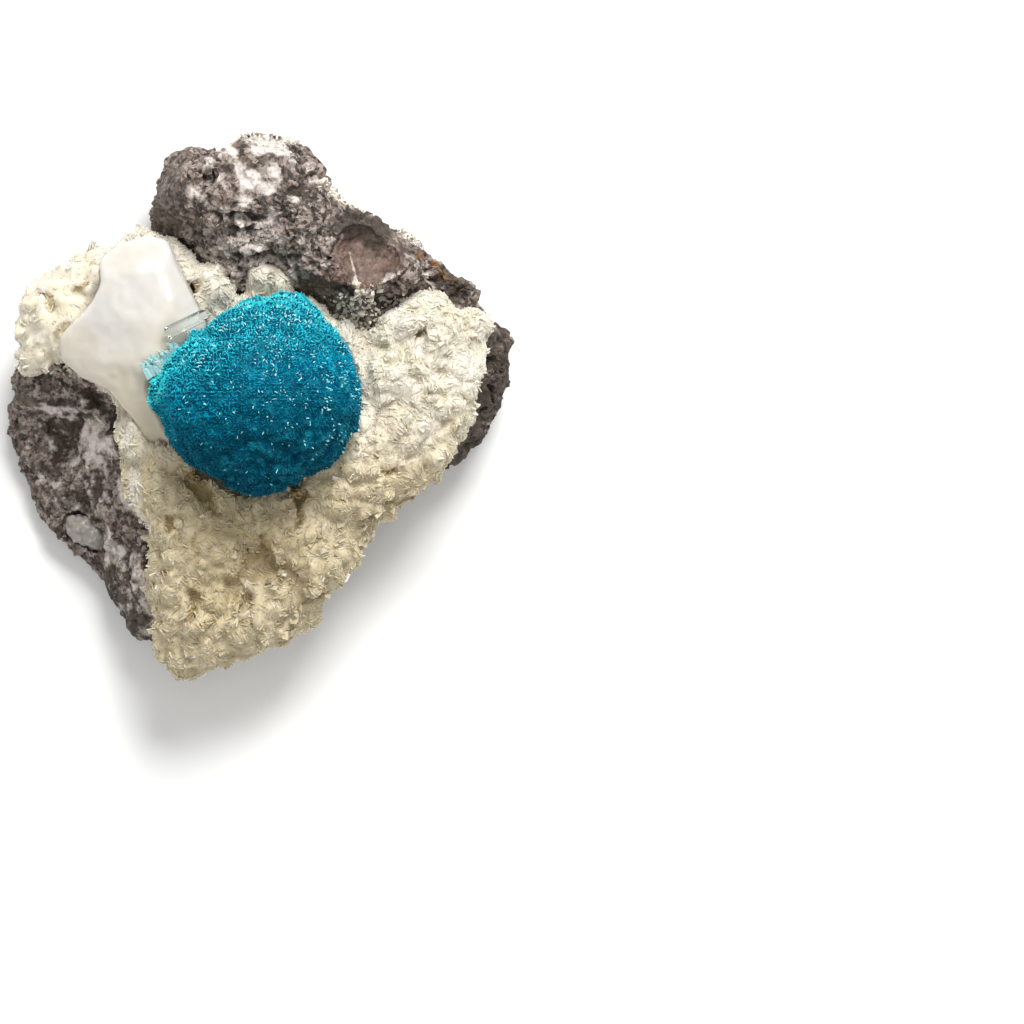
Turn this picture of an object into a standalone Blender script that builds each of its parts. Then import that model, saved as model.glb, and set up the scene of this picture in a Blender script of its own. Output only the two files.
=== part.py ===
"""A cavansite ball on a white zeolite crust, on the broken piece of basalt that carries it.

The specimen lies on its flat underside with the crystals up. X runs across it, Y along it, and Z is
the height above the surface that it lies on. Every shape is worked out in millimetres and turned to
metres when its object is finished.
"""

import math
import random

import bmesh
import bpy
from mathutils import Matrix, Vector, noise
from mathutils.bvhtree import BVHTree

# Driving dimensions, in millimetres
MM = 0.001
GAP = 0.3
SEED = 11

BED_TOP = 10.4
BED_FALL = 2.7
BED_RADIUS = 21.0
BED_CENTRE = (1.0, -1.0)

BLOCK_TOP = 15.2
BLOCK_FALL = 0.0105
BLOCK_CREST_X = 1.0
BLOCK_SOUTH = 5.5
BLOCK_CLIFF = 2.0
LEDGE_RISE = 0.9
LEDGE_FRONT = (15.6, 0.12)
LEDGE_ENDS = (-5.5, 4.0)

FLANK_SLOPE = 0.95
RIM_DROP = 2.6
RIM_WIDTH = 2.4
FOOT_RISE = 4.2
FOOT_WIDTH = 5.5
LEAST_EDGE = 2.2
ROCK_MESH = 0.85
ROCK_TRIANGLES = 2300
ROCK_PLACE_MESH = 0.6

CRUST_THICKNESS = 2.6
CRUST_DEPTH = 3.6
CRUST_RIM_DROP = 1.5
CRUST_RIM_WIDTH = 2.2
CRUST_MESH = 1.4
CRUST_BLADE = 0.85
CRUST_NUDGE = 0.4
RIM_NUDGE = 0.25

BALL_CENTRE = (-0.17, 0.99, 15.0)
BALL_RADIUS = 7.95
BALL_FOOT = 11.8
BALL_BLADE = 0.55
BALL_GAP = 0.55

MILKY_LOW = 8.0
MILKY_HIGH = 18.0
MILKY_EDGE = 0.5

TUFT_ROW = ((-9.1, 3.6), (-6.9, 4.7))
TUFT_HEIGHT = 15.75
TUFT_BLADES = 8
TUFT_BLADE = (0.5, 1.7, 0.7)
TUFT_TURNS = (60, 8)

PRISM_ENDS = ((-7.7, 5.7), (-4.2, 7.4))
PRISM_HEIGHT = 16.3
PRISM_RADIUS = 0.55

# Crystals that grow from a face: rise and length of the edge as shares, lean, and the sharpest fold
# between two triangles that become one face
CRYSTAL_RISES = (0.6, 1.25)
CRYSTAL_EDGES = (0.4, 0.9)
CRYSTAL_LEAN = 0.2
SHORTEN_STEPS = 12
SHORTEN_SHARE = 0.3
PAIR_ANGLE = math.radians(35)
MILKY_SHARP = math.radians(28)

# Outlines seen from above, going round the same way, in millimetres
ROCK_OUTLINE = [
    (-9.0, 14.0), (-8.5, 17.4), (-7.6, 20.0), (-5.2, 21.2), (-3.1, 20.9), (-0.4, 22.2), (1.8, 22.5),
    (3.3, 21.6), (4.2, 20.1), (4.9, 18.0), (6.9, 16.3), (9.2, 15.6), (11.2, 14.2), (13.5, 12.3),
    (17.0, 10.5), (18.4, 9.3), (18.2, 7.8), (20.8, 5.9), (21.0, 3.1), (20.0, 0.6), (18.9, -1.8),
    (15.6, -5.0), (12.2, -6.3), (9.9, -7.9), (8.0, -9.8), (6.8, -11.9), (5.1, -13.4), (4.2, -15.3),
    (2.0, -17.6), (0.0, -19.0), (-2.2, -19.2), (-4.1, -20.4), (-6.0, -20.9), (-8.0, -20.3),
    (-11.0, -18.6), (-13.7, -14.6), (-17.7, -10.9), (-20.0, -7.0), (-21.5, -3.0), (-21.7, 0.0),
    (-20.6, 2.6), (-18.9, 5.2), (-18.5, 8.3), (-17.4, 9.2), (-14.9, 10.5), (-12.2, 11.9),
]
CRUST_OUTLINE = [
    (-9.1, 14.4), (-7.3, 14.2), (-6.3, 14.8), (-6.1, 13.4), (-4.1, 12.2), (-3.1, 10.0), (-2.1, 9.3),
    (0.2, 10.7), (1.0, 11.2), (2.1, 10.2), (5.1, 8.8), (7.4, 6.9), (9.3, 6.0), (9.9, 7.7),
    (11.2, 9.2), (13.2, 9.4), (14.5, 10.1), (15.5, 9.6), (16.7, 7.2), (18.2, 7.8), (20.2, 6.3),
    (18.5, 5.5), (18.5, 3.1), (17.9, 1.6), (16.8, 0.3), (17.9, -0.4), (16.9, -2.5), (15.1, -5.0),
    (12.9, -7.1), (10.9, -8.4), (8.6, -10.9), (8.6, -11.8), (6.4, -13.9), (5.8, -15.6), (2.5, -18.8),
    (1.0, -20.1), (-1.2, -20.3), (-3.0, -21.4), (-5.4, -22.4), (-6.9, -22.0), (-8.4, -20.2),
    (-9.8, -16.1), (-9.8, -14.0), (-9.2, -12.4), (-9.4, -9.7), (-11.1, -7.4), (-12.1, -1.9),
    (-11.8, 0.2), (-12.9, 1.4), (-14.7, 2.1), (-16.7, 4.3), (-17.9, 4.0), (-18.3, 2.9),
    (-20.8, 1.7), (-19.8, 4.9), (-19.9, 8.7), (-19.3, 10.2), (-16.4, 11.1), (-14.0, 12.7),
    (-11.6, 13.8),
]
MILKY_OUTLINE = [
    (-13.1, 11.8), (-11.7, 13.3), (-9.1, 14.0), (-7.6, 13.4), (-7.0, 11.8), (-4.4, 6.6),
    (-4.9, 4.8), (-6.6, 3.3), (-7.3, 1.2), (-7.0, -1.9), (-6.0, -3.8), (-4.9, -5.2),
    (-5.2, -6.9), (-6.6, -6.9), (-7.9, -5.5), (-10.1, -1.7), (-12.4, 1.4), (-14.9, 2.4),
    (-16.3, 3.8), (-16.4, 5.5), (-13.6, 8.7), (-12.9, 10.0),
]

# Broken-open gas bubbles of the basalt: x, y, radius of the opening and depth
VESICLES = [
    (9.15, 12.55, 3.1, 2.2),
    (-4.1, 18.9, 0.75, 1.2),
    (3.3, 17.7, 1.0, 0.8),
    (13.0, 11.4, 0.7, 0.6),
]
# A long hollow under the block's ledge: centre, half sizes
LEDGE_HOLLOW = ((-2.3, 15.7), (1.9, 0.75, 0.8))
AMYGDULE = {"place": (-14.6, -10.6), "radii": (2.3, 1.2, 1.1), "turn": math.radians(-26), "proud": 0.35}
# Swellings of the ball: azimuth and elevation in degrees, half width in degrees, height
BALL_LOBES = [
    (128, -8, 31, -2.1),
    (62, 0, 15, 0.7),
    (42, 0, 8, -0.35),
    (-5, 0, 30, 0.45),
    (-45, 5, 14, 0.3),
    (-62, 0, 8, -0.5),
    (-90, 12, 17, 0.55),
    (-88, 47, 9, -0.45),
    (-114, 4, 9, -0.6),
    (178, -2, 11, 1.35),
    (75, 50, 24, 0.3),
    (170, 35, 24, 0.25),
]
# Flat faces that bound the milky crystal above and below: a point and the way each faces
MILKY_FACES = [
    ((-6.0, 0.0, 11.8), (0.131, -0.1, -1.0)),
    ((-9.5, 8.5, 15.0), (-0.08, 0.12, 1.0)),
    ((-13.0, 6.0, 14.4), (-0.35, -0.06, 0.93)),
    ((-10.5, 12.3, 13.9), (-0.1, 0.5, 0.86)),
    ((-6.2, 9.5, 14.2), (0.55, 0.25, 0.8)),
    ((-9.8, 1.8, 14.9), (0.08, -0.12, 0.95)),
    ((-8.6, -3.0, 14.1), (-0.3, -0.15, 0.94)),
    ((-14.5, 3.6, 13.2), (-0.3, -0.4, 0.86)),
]


def edge_distance(x, y, outline):
    """Distance from a point to an outline, negative where the point is outside it."""
    nearest = math.inf
    inside = False
    for (x1, y1), (x2, y2) in zip(outline, outline[1:] + outline[:1]):
        dx, dy = x2 - x1, y2 - y1
        along = ((x - x1) * dx + (y - y1) * dy) / (dx * dx + dy * dy)
        along = min(1.0, max(0.0, along))
        nearest = min(nearest, math.hypot(x - x1 - along * dx, y - y1 - along * dy))
        if (y1 > y) != (y2 > y) and x < x1 + (y - y1) * dx / dy:
            inside = not inside
    return nearest if inside else -nearest


def ramp(value):
    """Smooth step from 0 to 1 as the value goes from 0 to 1."""
    value = min(1.0, max(0.0, value))
    return value * value * (3 - 2 * value)


def swell(point, size, layer=0):
    """Smooth noise from about -1 to 1 whose swells are size mm across."""
    return noise.noise(Vector(point) / size + Vector((layer * 17.3, layer * 5.9, layer * 9.1)))


def facet(point, size):
    """Height of flat broken facets size mm across, as a share of their size."""
    place = Vector(point) / size
    seed = noise.voronoi(place)[1][0]
    tilt = noise.cell_vector(seed * 7.3) - Vector((0.5, 0.5, 0.5))
    return tilt.dot(place - seed) + 0.35 * noise.cell(seed * 5.1)


def lump(point, size):
    """Rounded lumps size mm across with sharp creases between them, from 0 to about 1."""
    nearest = noise.voronoi(Vector(point) / size)[0][0]
    return max(0.0, 1.0 - nearest * nearest * 2.0)


def bed_height(x, y):
    """Height of the basalt under the crust, a low dome."""
    away = math.hypot(x - BED_CENTRE[0], y - BED_CENTRE[1]) / BED_RADIUS
    return BED_TOP - BED_FALL * away * away


def block_height(x, y):
    """Height of the basalt block along the top edge, with its ledge."""
    height = BLOCK_TOP - BLOCK_FALL * (x - BLOCK_CREST_X) ** 2
    front = LEDGE_FRONT[0] + LEDGE_FRONT[1] * x
    along = ramp((x - LEDGE_ENDS[0]) / 2) * ramp((LEDGE_ENDS[1] - x) / 2)
    return height - LEDGE_RISE * along * (1 - ramp((y - front) / 0.6 + 0.5))


def rock_top(x, y):
    """Height of the basalt's upper side."""
    off_crust = -edge_distance(x, y, CRUST_OUTLINE)
    height = bed_height(x, y)
    if off_crust > 0 and y > BLOCK_SOUTH:
        height += (block_height(x, y) - height) * ramp(off_crust / BLOCK_CLIFF)
    elif off_crust > 0:
        height -= FLANK_SLOPE * off_crust
    from_rim = max(0.0, edge_distance(x, y, ROCK_OUTLINE))
    if from_rim < RIM_WIDTH:
        height -= RIM_DROP * (1 - from_rim / RIM_WIDTH) ** 2
    return max(height, LEAST_EDGE + 0.6)


def rock_foot(x, y):
    """Height of the basalt's underside, below zero where the flat base cuts it."""
    from_rim = max(0.0, edge_distance(x, y, ROCK_OUTLINE))
    width = FOOT_WIDTH * (1 + 0.35 * swell((x, y, 0), 9, 1))
    return FOOT_RISE * (1 - from_rim / width) if from_rim < width else -1.0


def crust_top(x, y):
    """Height of the crust without its blades: the bed, the crust's thickness and lumps."""
    lumps = 0.75 * lump((x, y, 0), 4.2) + 0.45 * swell((x, y, 0), 2.6, 2)
    height = bed_height(x, y) + CRUST_THICKNESS + lumps - 0.4
    from_rim = max(0.0, edge_distance(x, y, CRUST_OUTLINE))
    if from_rim < CRUST_RIM_WIDTH:
        height -= CRUST_RIM_DROP * (1 - from_rim / CRUST_RIM_WIDTH) ** 2
    return height


def new_object(name, bm, collection):
    """An object of a bmesh, which is freed."""
    mesh = bpy.data.meshes.new(name)
    bm.to_mesh(mesh)
    bm.free()
    thing = bpy.data.objects.new(name, mesh)
    collection.objects.link(thing)
    return thing


def editable(thing):
    """A bmesh of an object's mesh."""
    bm = bmesh.new()
    bm.from_mesh(thing.data)
    return bm


def put_back(bm, thing):
    """Write a bmesh to its object's mesh."""
    bm.to_mesh(thing.data)
    bm.free()


def use_up_modifiers(thing):
    """Replace an object's mesh by its evaluated one."""
    depsgraph = bpy.context.evaluated_depsgraph_get()
    mesh = bpy.data.meshes.new_from_object(thing.evaluated_get(depsgraph))
    thing.modifiers.clear()
    thing.data = mesh


def prism(name, outline, low, high, collection):
    """A closed upright prism over an outline."""
    bm = bmesh.new()
    lower = [bm.verts.new((x, y, low)) for x, y in outline]
    upper = [bm.verts.new((x, y, high)) for x, y in outline]
    bm.faces.new(lower)
    bm.faces.new(upper)
    for number in range(len(outline)):
        bm.faces.new((lower[number - 1], lower[number], upper[number], upper[number - 1]))
    bmesh.ops.recalc_face_normals(bm, faces=bm.faces)
    return new_object(name, bm, collection)


def remesh(thing, size):
    """Give an object an even mesh of squares of one size."""
    modifier = thing.modifiers.new("even mesh", "REMESH")
    modifier.mode = "VOXEL"
    modifier.voxel_size = size
    use_up_modifiers(thing)


def thin_out(thing, triangles):
    """Merge the smallest details of a mesh until about this many triangles are left."""
    modifier = thing.modifiers.new("fewer faces", "DECIMATE")
    modifier.ratio = triangles / sum(len(face.vertices) - 2 for face in thing.data.polygons)
    use_up_modifiers(thing)


def combine(thing, other, operation):
    """Boolean of an object with another one, which stays as it is."""
    modifier = thing.modifiers.new(operation.lower(), "BOOLEAN")
    modifier.operation = operation
    modifier.solver = "EXACT"
    modifier.use_self = True
    modifier.object = other
    use_up_modifiers(thing)


def swollen_copy(thing, gap, cutters):
    """A copy of an object that is larger by the gap all round, for cutting its place in another."""
    bm = editable(thing)
    bm.normal_update()
    moves = [(vert, vert.normal * gap * min(1.6, vert.calc_shell_factor())) for vert in bm.verts]
    for vert, move in moves:
        vert.co += move
    return new_object(thing.name + "_place", bm, cutters)


def keep_largest_body(thing):
    """Delete the crumbs that a cut leaves beside the main body."""
    bm = editable(thing)
    unseen = set(bm.verts)
    bodies = []
    while unseen:
        body = {unseen.pop()}
        edge = list(body)
        while edge:
            near = {link.other_vert(vert) for vert in edge for link in vert.link_edges} & unseen
            unseen -= near
            body |= near
            edge = list(near)
        bodies.append(body)
    largest = max(bodies, key=len)
    bmesh.ops.delete(bm, geom=[vert for vert in bm.verts if vert not in largest], context="VERTS")
    put_back(bm, thing)


def cut_flat(bm, point, facing):
    """Cut away what lies beyond a plane and close the cut."""
    everything = bm.verts[:] + bm.edges[:] + bm.faces[:]
    bmesh.ops.bisect_plane(bm, geom=everything, plane_co=point, plane_no=facing, clear_outer=True)
    bmesh.ops.holes_fill(bm, edges=[edge for edge in bm.edges if edge.is_boundary])
    bmesh.ops.recalc_face_normals(bm, faces=bm.faces)


def pair_up(bm, faces, rng):
    """Join neighbouring triangles at random into four-sided faces, so that no rows are left."""
    free = set(faces)
    edges = sorted({edge for face in faces for edge in face.edges}, key=lambda edge: edge.index)
    rng.shuffle(edges)
    joined = []
    for edge in edges:
        pair = set(edge.link_faces)
        if len(pair) == 2 and pair <= free and edge.calc_face_angle() < PAIR_ANGLE:
            free -= pair
            joined.append(edge)
    bmesh.ops.dissolve_edges(bm, edges=joined, use_verts=False)


def draw_to_point(corners, tip):
    """Bring corners together at a tip."""
    for vert in corners:
        vert.co = tip


def shorten_clashing(bm, homes):
    """Lower the crystals that run into one another, step by step, until none do."""
    for attempt in range(SHORTEN_STEPS):
        bm.faces.ensure_lookup_table()
        tree = BVHTree.FromBMesh(bm)
        clashing = set()
        for one, two in tree.overlap(tree):
            corners, others = set(bm.faces[one].verts), set(bm.faces[two].verts)
            if not corners & others:
                clashing |= corners | others
        if not clashing:
            break
        for vert in clashing & set(homes):
            vert.co = vert.co.lerp(homes[vert], SHORTEN_SHARE)


def grow_crystals(bm, faces, rise_at, rng):
    """Draw faces out into crystals: four sides rise to a chisel edge, three sides to a point."""
    homes = {}
    for face in bmesh.ops.extrude_discrete_faces(bm, faces=faces)["faces"]:
        face.normal_update()
        out = face.normal.copy()
        centre = face.calc_center_median()
        corners = list(face.verts)
        lean = Vector([rng.uniform(-CRYSTAL_LEAN, CRYSTAL_LEAN) for axis in range(3)])
        rise = rise_at(centre) * rng.uniform(*CRYSTAL_RISES)
        if len(corners) == 3:
            draw_to_point(corners, centre + out * rise + lean * rise)
        else:
            sides = [(corners[i].co - corners[i - 1].co).length for i in range(4)]
            first = 1 if sides[0] + sides[2] > sides[1] + sides[3] else 0
            corners = corners[first:] + corners[:first]
            for pair in (corners[:2], corners[2:]):
                middle = (pair[0].co + pair[1].co) / 2 - centre
                tilt = out * rise * rng.uniform(0.8, 1.2)
                draw_to_point(pair, centre + middle * rng.uniform(*CRYSTAL_EDGES) + tilt + lean * rise)
        homes.update({vert: centre for vert in corners})
    bmesh.ops.remove_doubles(bm, verts=list(homes), dist=0.001)
    shorten_clashing(bm, {vert: home for vert, home in homes.items() if vert.is_valid})


def surfaces_of(things):
    """A search tree over the surfaces of some objects."""
    points, faces = [], []
    for thing in things:
        first = len(points)
        points += [vert.co.copy() for vert in thing.data.vertices]
        faces += [[first + corner for corner in face.vertices] for face in thing.data.polygons]
    return BVHTree.FromPolygons(points, faces)


def room_at(tree, centre):
    """How far a crystal may rise at a place and still keep the gap to its neighbours."""
    return max(0.0, tree.find_nearest(centre)[3] - GAP) / 1.45


def nudge_sideways(bm, reach, rng):
    """Move points along their surface, less at the rim, so that a square mesh loses its rows."""
    bm.normal_update()
    for vert in bm.verts:
        step = Vector([rng.uniform(-reach, reach) for axis in range(3)])
        step *= max(RIM_NUDGE, vert.normal.z ** 3)
        vert.co += step - vert.normal * step.dot(vert.normal)


def ellipsoid(name, centre, radii, detail, collection, turn=0.0):
    """A ball with three radii, turned about the upright."""
    bm = bmesh.new()
    bmesh.ops.create_icosphere(bm, subdivisions=detail, radius=1.0)
    shape = Matrix.Translation(centre) @ Matrix.Rotation(turn, 4, "Z") @ Matrix.Diagonal((*radii, 1))
    bmesh.ops.transform(bm, matrix=shape, verts=bm.verts)
    return new_object(name, bm, collection)


def vesicle_cutter(x, y, opening, depth, cutters):
    """The ball that leaves a bowl with this opening and depth in the basalt."""
    radius = (opening * opening + depth * depth) / (2 * depth)
    centre = (x, y, rock_top(x, y) + radius - depth)
    detail = 3 if opening > 2 else 2
    return ellipsoid("vesicle", centre, (radius, radius, radius), detail, cutters)


def roughen_basalt(bm):
    """Break the bare basalt into facets and grains, and leave it smooth under the crust."""
    bm.normal_update()
    moves = []
    for vert in bm.verts:
        covered = ramp(edge_distance(vert.co.x, vert.co.y, CRUST_OUTLINE) / 0.8)
        bare = 1.0 - covered * ramp(vert.normal.z * 2)
        height = 1.5 * facet(vert.co, 4.2) + 0.8 * facet(vert.co, 2.1) + 0.2 * swell(vert.co, 1.1, 3)
        moves.append((vert, vert.normal * height * bare))
    for vert, move in moves:
        vert.co += move


def make_basalt(parts):
    """The basalt: a prism over its outline, shaped by the height rules, broken up and cut flat."""
    thickness = 11.0
    rock = prism("basalt_matrix", ROCK_OUTLINE, 0, thickness, parts)
    remesh(rock, ROCK_MESH)
    bm = editable(rock)
    for vert in bm.verts:
        high = rock_top(vert.co.x, vert.co.y)
        low = min(rock_foot(vert.co.x, vert.co.y), high - LEAST_EDGE)
        vert.co.z = low + (high - low) * vert.co.z / thickness
    bmesh.ops.smooth_vert(bm, verts=bm.verts, factor=0.5, use_axis_x=True, use_axis_y=True, use_axis_z=True)
    put_back(bm, rock)
    remesh(rock, ROCK_MESH)
    bm = editable(rock)
    roughen_basalt(bm)
    put_back(bm, rock)
    remesh(rock, ROCK_MESH)
    thin_out(rock, ROCK_TRIANGLES)
    bm = editable(rock)
    cut_flat(bm, (0, 0, 0), (0, 0, -1))
    put_back(bm, rock)
    return rock


def open_bubbles(rock, cutters):
    """Cut the broken-open gas bubbles and the hollow under the ledge into the basalt."""
    for x, y, opening, depth in VESICLES:
        combine(rock, vesicle_cutter(x, y, opening, depth, cutters), "DIFFERENCE")
    (x, y), radii = LEDGE_HOLLOW
    hollow = ellipsoid("ledge_hollow", (x, y, rock_top(x, y - 0.8)), radii, 2, cutters, math.radians(7))
    combine(rock, hollow, "DIFFERENCE")
    keep_largest_body(rock)


def make_amygdule(rock, parts, cutters):
    """The filled bubble in the left flank, set in its own place in the basalt."""
    x, y = AMYGDULE["place"]
    depth = AMYGDULE["radii"][2] - AMYGDULE["proud"]
    centre = (x, y, rock_top(x, y) - depth)
    grain = ellipsoid("amygdule", centre, AMYGDULE["radii"], 2, parts, AMYGDULE["turn"])
    bm = editable(grain)
    for vert in bm.verts:
        vert.co += (vert.co - Vector(centre)) * 0.15 * swell(vert.co, 1.0, 6)
    put_back(bm, grain)
    combine(rock, swollen_copy(grain, GAP, cutters), "DIFFERENCE")
    keep_largest_body(rock)
    return grain


def ball_radius(direction):
    """Distance from the ball's centre to its surface without blades."""
    reach = BALL_RADIUS
    for azimuth, elevation, width, height in BALL_LOBES:
        az, el = math.radians(azimuth), math.radians(elevation)
        lobe = Vector((math.cos(el) * math.cos(az), math.cos(el) * math.sin(az), math.sin(el)))
        angle = math.degrees(direction.angle(lobe))
        reach += height * math.exp(-((angle / width) ** 2))
    return reach + 0.45 * lump(direction * BALL_RADIUS, 3.4) - 0.2


def smooth_ball(parts):
    """The ball before its blades grow: a sphere with lobes, cut flat where it stands on the crust."""
    centre = Vector(BALL_CENTRE)
    rng = random.Random(SEED)
    bm = bmesh.new()
    bmesh.ops.create_icosphere(bm, subdivisions=4, radius=1.0)
    for vert in bm.verts:
        jitter = Vector([rng.uniform(-0.03, 0.03) for axis in range(3)])
        direction = (vert.co + jitter).normalized()
        vert.co = centre + direction * ball_radius(direction)
    cut_flat(bm, (0, 0, BALL_FOOT), (0, 0, -1))
    return new_object("cavansite_ball", bm, parts)


def grow_ball_blades(ball, neighbours):
    """The ball's blades, shorter towards the crust and beside the crystals that touch the ball."""
    tree = surfaces_of(neighbours)
    rng = random.Random(SEED + 1)

    def rise_at(centre):
        return min(BALL_BLADE * ramp((centre.z - BALL_FOOT - 0.5) / 2.0), room_at(tree, centre))

    def bare(face):
        return face.calc_center_median().z > BALL_FOOT + 0.9

    bm = editable(ball)
    pair_up(bm, [face for face in bm.faces if bare(face)], rng)
    grow_crystals(bm, [face for face in bm.faces if bare(face)], rise_at, rng)
    put_back(bm, ball)


def make_milky(parts):
    """The milky crystal before it is fitted: a prism over its outline between flat faces."""
    crystal = prism("milky_crystal", MILKY_OUTLINE, MILKY_LOW, MILKY_HIGH, parts)
    bm = editable(crystal)
    for point, facing in MILKY_FACES:
        cut_flat(bm, point, facing)
    bmesh.ops.remove_doubles(bm, verts=bm.verts, dist=0.05)
    put_back(bm, crystal)
    modifier = crystal.modifiers.new("blunt edges", "BEVEL")
    modifier.limit_method = "ANGLE"
    modifier.angle_limit = MILKY_SHARP
    modifier.width = MILKY_EDGE
    modifier.segments = 1
    use_up_modifiers(crystal)
    return crystal


def fit_among(thing, places):
    """Cut the places of its neighbours out of an object."""
    for place in places:
        combine(thing, place, "DIFFERENCE")
    keep_largest_body(thing)


def make_tuft(parts, cutters):
    """The pale tuft: a row of short blades that fan out, grown into one."""
    (x1, y1), (x2, y2) = TUFT_ROW
    tuft = None
    for number in range(TUFT_BLADES):
        share = number / (TUFT_BLADES - 1)
        root = Vector((x1 + (x2 - x1) * share, y1 + (y2 - y1) * share, TUFT_HEIGHT))
        bm = bmesh.new()
        bmesh.ops.create_cube(bm, size=1.0)
        for vert in bm.verts:
            if vert.co.y > 0:
                vert.co.x *= 0.6
                vert.co.z *= 0.6
        turn = math.radians(TUFT_TURNS[0] + (TUFT_TURNS[1] - TUFT_TURNS[0]) * share)
        shape = Matrix.Translation(root) @ Matrix.Rotation(turn, 4, "Z")
        lift = Matrix.Rotation(math.radians(12 + 9 * (number % 3)), 4, "X")
        bmesh.ops.transform(bm, matrix=shape @ lift @ Matrix.Diagonal((*TUFT_BLADE, 1)), verts=bm.verts)
        if tuft is None:
            tuft = new_object("pale_tuft", bm, parts)
        else:
            combine(tuft, new_object("tuft_blade", bm, cutters), "UNION")
    return tuft


def make_prism(parts):
    """The clear prism: six-sided, lying down, with slanted ends."""
    (x1, y1), (x2, y2) = PRISM_ENDS
    length = math.hypot(x2 - x1, y2 - y1)
    bm = bmesh.new()
    bmesh.ops.create_cone(bm, cap_ends=True, segments=6, radius1=PRISM_RADIUS, radius2=PRISM_RADIUS, depth=length)
    lay = Matrix.Rotation(math.atan2(y2 - y1, x2 - x1), 4, "Z") @ Matrix.Rotation(math.radians(90), 4, "Y")
    centre = Matrix.Translation(((x1 + x2) / 2, (y1 + y2) / 2, PRISM_HEIGHT))
    bmesh.ops.transform(bm, matrix=centre @ lay, verts=bm.verts)
    along = Vector((x2 - x1, y2 - y1, 0)).normalized()
    cut_flat(bm, Vector((x2, y2, PRISM_HEIGHT)) - along * 0.3, along + Vector((0, 0, 0.8)))
    cut_flat(bm, Vector((x1, y1, PRISM_HEIGHT)) + along * 0.3, Vector((0, 0, 0.6)) - along)
    return new_object("clear_prism", bm, parts)


def make_druse(parts):
    """The crust before its blades grow: a lumpy sheet over its outline."""
    crust = prism("heulandite_druse", CRUST_OUTLINE, 0, CRUST_DEPTH, parts)
    remesh(crust, CRUST_MESH)
    bm = editable(crust)
    nudge_sideways(bm, CRUST_NUDGE, random.Random(SEED + 2))
    for vert in bm.verts:
        vert.co.z += crust_top(vert.co.x, vert.co.y) - CRUST_DEPTH
    bmesh.ops.triangulate(bm, faces=bm.faces)
    put_back(bm, crust)
    return crust


def grow_crust_blades(crust, neighbours):
    """The crust's blades, on every face that is open to view."""
    tree = surfaces_of(neighbours)
    rng = random.Random(SEED + 3)

    def rise_at(centre):
        return min(CRUST_BLADE, room_at(tree, centre))

    def bare(face):
        wide = face.calc_area() > CRUST_MESH * CRUST_MESH / 4
        return wide and face.normal.z > -0.1 and room_at(tree, face.calc_center_median()) > 0.3

    bm = editable(crust)
    bm.normal_update()
    pair_up(bm, [face for face in bm.faces if bare(face)], rng)
    bm.normal_update()
    grow_crystals(bm, [face for face in bm.faces if bare(face) and len(face.verts) < 5], rise_at, rng)
    put_back(bm, crust)


def centre_on_origin(things):
    """Move all objects together so that the middle of their box stands over the origin."""
    corners = [vert.co for thing in things for vert in thing.data.vertices]
    middle = [(min(co[axis] for co in corners) + max(co[axis] for co in corners)) / 2 for axis in (0, 1)]
    for thing in things:
        thing.data.transform(Matrix.Translation((-middle[0], -middle[1], 0)))


def finish(thing, colour, roughness):
    """Turn an object to metres and give it its own material."""
    thing.data.transform(Matrix.Scale(MM, 4))
    material = bpy.data.materials.new(thing.name)
    material.use_nodes = True
    shader = material.node_tree.nodes["Principled BSDF"]
    shader.inputs["Base Color"].default_value = (*colour, 1.0)
    shader.inputs["Roughness"].default_value = roughness
    thing.data.materials.clear()
    thing.data.materials.append(material)


def collection(name):
    """A new collection in the scene."""
    group = bpy.data.collections.new(name)
    bpy.context.scene.collection.children.link(group)
    return group


def main():
    for old in list(bpy.data.objects):
        bpy.data.objects.remove(old)
    parts = collection("cavansite_specimen")
    cutters = collection("cutters")

    rock = make_basalt(parts)
    rock_place = swollen_copy(rock, GAP, cutters)
    remesh(rock_place, ROCK_PLACE_MESH)
    thin_out(rock_place, ROCK_TRIANGLES)
    open_bubbles(rock, cutters)
    ball = smooth_ball(parts)
    ball_place = swollen_copy(ball, BALL_GAP, cutters)
    milky = make_milky(parts)
    milky_place = swollen_copy(milky, GAP, cutters)
    fit_among(milky, (ball_place, rock_place))
    clear = make_prism(parts)
    clear_place = swollen_copy(clear, GAP, cutters)
    fit_among(clear, (ball_place, milky_place))
    tuft = make_tuft(parts, cutters)
    fit_among(tuft, (ball_place, milky_place, clear_place))
    grow_ball_blades(ball, (rock, milky, clear, tuft))
    druse = make_druse(parts)
    fit_among(druse, (rock_place, ball_place, milky_place))
    grow_crust_blades(druse, (rock, ball, milky, clear, tuft))
    grain = make_amygdule(rock, parts, cutters)
    centre_on_origin(parts.objects)

    finish(rock, (0.13, 0.11, 0.10), 0.85)
    finish(druse, (0.75, 0.70, 0.55), 0.35)
    finish(milky, (0.85, 0.83, 0.79), 0.3)
    finish(ball, (0.0, 0.2, 0.35), 0.4)
    finish(clear, (0.8, 0.82, 0.78), 0.15)
    finish(tuft, (0.35, 0.75, 0.75), 0.3)
    finish(grain, (0.6, 0.58, 0.54), 0.5)
    for cutter in cutters.objects:
        cutter.data.transform(Matrix.Scale(MM, 4))
        cutter.hide_render = True
        cutter.display_type = "WIRE"


main()
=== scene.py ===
# %% [markdown]
# # A cavansite ball on its zeolite crust
#
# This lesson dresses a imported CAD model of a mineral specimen. The CAD holds the main shapes: the
# broken basalt, the crust, the ball, a milky crystal and a few small ones. What it leaves out is
# what makes a specimen look real, which is thousands of fine crystals, the broken grain of the rock,
# and light that goes into the crystals before it comes back. All of that is made here.

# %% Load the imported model
import math
import random

import bmesh
import bpy
import numpy as np
from mathutils import Matrix, Vector, noise
from mathutils.bvhtree import BVHTree


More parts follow.
